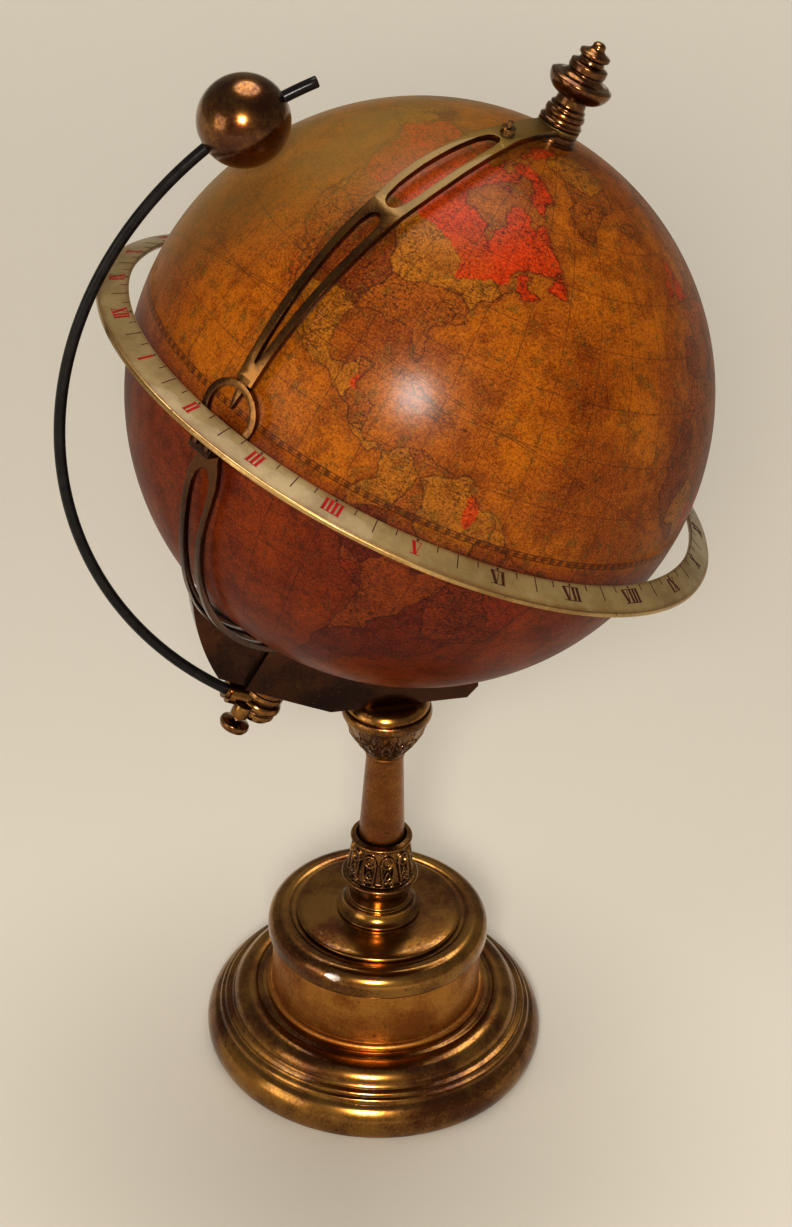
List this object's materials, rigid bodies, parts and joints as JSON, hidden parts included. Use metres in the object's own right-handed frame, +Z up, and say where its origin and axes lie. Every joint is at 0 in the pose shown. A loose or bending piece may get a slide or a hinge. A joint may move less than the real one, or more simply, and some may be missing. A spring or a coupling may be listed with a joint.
{
  "type": "desktop globe on stand",
  "caption": "Tabletop globe clock: a tilted globe with a clock movement inside turns past a 24-hour chapter ring on a turned brass stand, with a sun ball on a curved rod.",
  "frame": {"origin": "on the column's axis, on the plane that the foot rests on", "axes": "+Z up; the polar axis leans 24 degrees towards +X in the XZ plane, so the sun arm and XII are on the -X side"},
  "size_m": [0.2304, 0.2334, 0.4136],
  "materials": {
    "spun_brass": "polished, aged lacquer",
    "satin_brass": "satin, worn lacquer",
    "cast_brass": "dark antique cast brass",
    "arm_brass": "dark sides, rubbed top",
    "ring_brass": "bright edge",
    "dial_ivory": "ivory enamel, satin",
    "map_paper": "varnished printed paper",
    "board": "pressed board",
    "knob_brass": "polished, dark",
    "black_steel": "black lacquer",
    "movement_brass": "brushed",
    "steel": "turned",
    "spring_steel": "blued",
    "cast_iron": "rough cast",
    "felt": "green baize",
    "lining": "felt"
  },
  "bodies": {
    "stand": {"balance_cock": "movement_brass", "balance_platform": "movement_brass", "base_ballast": "cast_iron", "base_cap": "spun_brass", "base_drum": "satin_brass", "base_felt": "felt", "base_plinth": "spun_brass", "bracket_screws": "arm_brass", "cap_disc": "spun_brass", "chapter_ring": "ring_brass", "column_shaft": "satin_brass", "cup_dome": "spun_brass", "foot_collar": "spun_brass", "leaf_cup": "cast_brass", "meridian_arm_lower": "arm_brass", "meridian_arm_upper": "arm_brass", "movement_pillars": "movement_brass", "movement_plate_north": "movement_brass", "movement_plate_south": "movement_brass", "north_nut": "knob_brass", "north_tube": "knob_brass", "pillar_screws": "steel", "pivot_nut": "steel", "ring_bracket": "arm_brass", "ring_face": "dial_ivory", "saddle": "cast_brass", "scroll_band": "cast_brass", "south_nut": "knob_brass", "south_post": "knob_brass", "tie_nut": "steel", "tie_rod": "steel", "tie_washer": "steel"},
    "globe": {"globe_shell_north": "map_paper", "globe_shell_south": "map_paper", "equator_strip": "board", "pole_bush_north": "knob_brass", "pole_bush_south": "knob_brass", "drive_sleeve": "movement_brass", "globe_wheel": "movement_brass"},
    "barrel": {"barrel_drum": "movement_brass", "barrel_cover": "movement_brass", "mainspring": "spring_steel"},
    "finial": {"finial": "knob_brass", "winding_arbor": "steel"},
    "layshaft": {"layshaft_arbor": "steel", "drive_pinion": "steel", "lay_pinion": "steel", "third_wheel": "movement_brass"},
    "escapement": {"escape_arbor": "steel", "escape_pinion": "steel", "escape_wheel": "movement_brass"},
    "lever": {"pallet_lever": "steel"},
    "balance": {"balance_wheel": "movement_brass", "hairspring": "spring_steel"},
    "sun_arm": {"clamp_hub": "knob_brass", "sun_rod": "black_steel", "rod_ferrule": "knob_brass"},
    "sun_ball": {"sun_ball": "knob_brass", "ball_lining": "lining"},
    "thumbscrew": {"thumbscrew": "knob_brass"}
  },
  "joints": [
    {"name": "globe_spin", "type": "hinge", "parent": "stand", "child": "globe", "pos_m": [0.0068, 0, 0.2877], "axis": [0.4067, 0, 0.9135], "continuous": true},
    {"name": "barrel_turn", "type": "hinge", "parent": "stand", "child": "barrel", "pos_m": [0.00029, 0, 0.27308], "axis": [0.4067, 0, 0.9135], "continuous": true},
    {"name": "layshaft_turn", "type": "hinge", "parent": "stand", "child": "layshaft", "pos_m": [0.0277, 0, 0.26088], "axis": [0.4067, 0, 0.9135], "continuous": true},
    {"name": "escape_turn", "type": "hinge", "parent": "stand", "child": "escapement", "pos_m": [0.021, 0.01732, 0.27043], "axis": [0.4067, 0, 0.9135], "continuous": true},
    {"name": "finial_turn", "type": "hinge", "parent": "stand", "child": "finial", "pos_m": [0.05357, 0, 0.39276], "axis": [0.4067, 0, 0.9135], "continuous": true},
    {"name": "lever_swing", "type": "hinge", "parent": "stand", "child": "lever", "pos_m": [0.03073, 0.02806, 0.27704], "axis": [0.4067, 0, 0.9135], "range_deg": [-3, 3]},
    {"name": "balance_swing", "type": "hinge", "parent": "stand", "child": "balance", "pos_m": [-0.00537, 0.014, 0.30954], "axis": [0.4067, 0, 0.9135], "range_deg": [-140, 140], "stiffness_Nm_per_rad": 0.000008},
    {"name": "sun_arm_swing", "type": "hinge", "parent": "stand", "child": "sun_arm", "pos_m": [-0.0477, 0, 0.16528], "axis": [0.4067, 0, 0.9135], "range_deg": [-125, 125]},
    {"name": "sun_ball_travel", "type": "hinge", "parent": "sun_arm", "child": "sun_ball", "pos_m": [0.0147, 0, 0.28155], "axis": [0, 1, 0], "range_deg": [-27, 4.5]},
    {"name": "thumbscrew_turn", "type": "hinge", "parent": "sun_arm", "child": "thumbscrew", "pos_m": [-0.0569, -0.0046, 0.16281], "axis": [0.4067, 0, 0.9135], "range_deg": [-90, 270]}
  ],
  "couplings": [
    {"joint": "layshaft_turn", "follows": "globe_spin", "ratio": -4},
    {"joint": "barrel_turn", "follows": "globe_spin", "ratio": 1},
    {"joint": "escape_turn", "follows": "globe_spin", "ratio": 16}
  ]
}
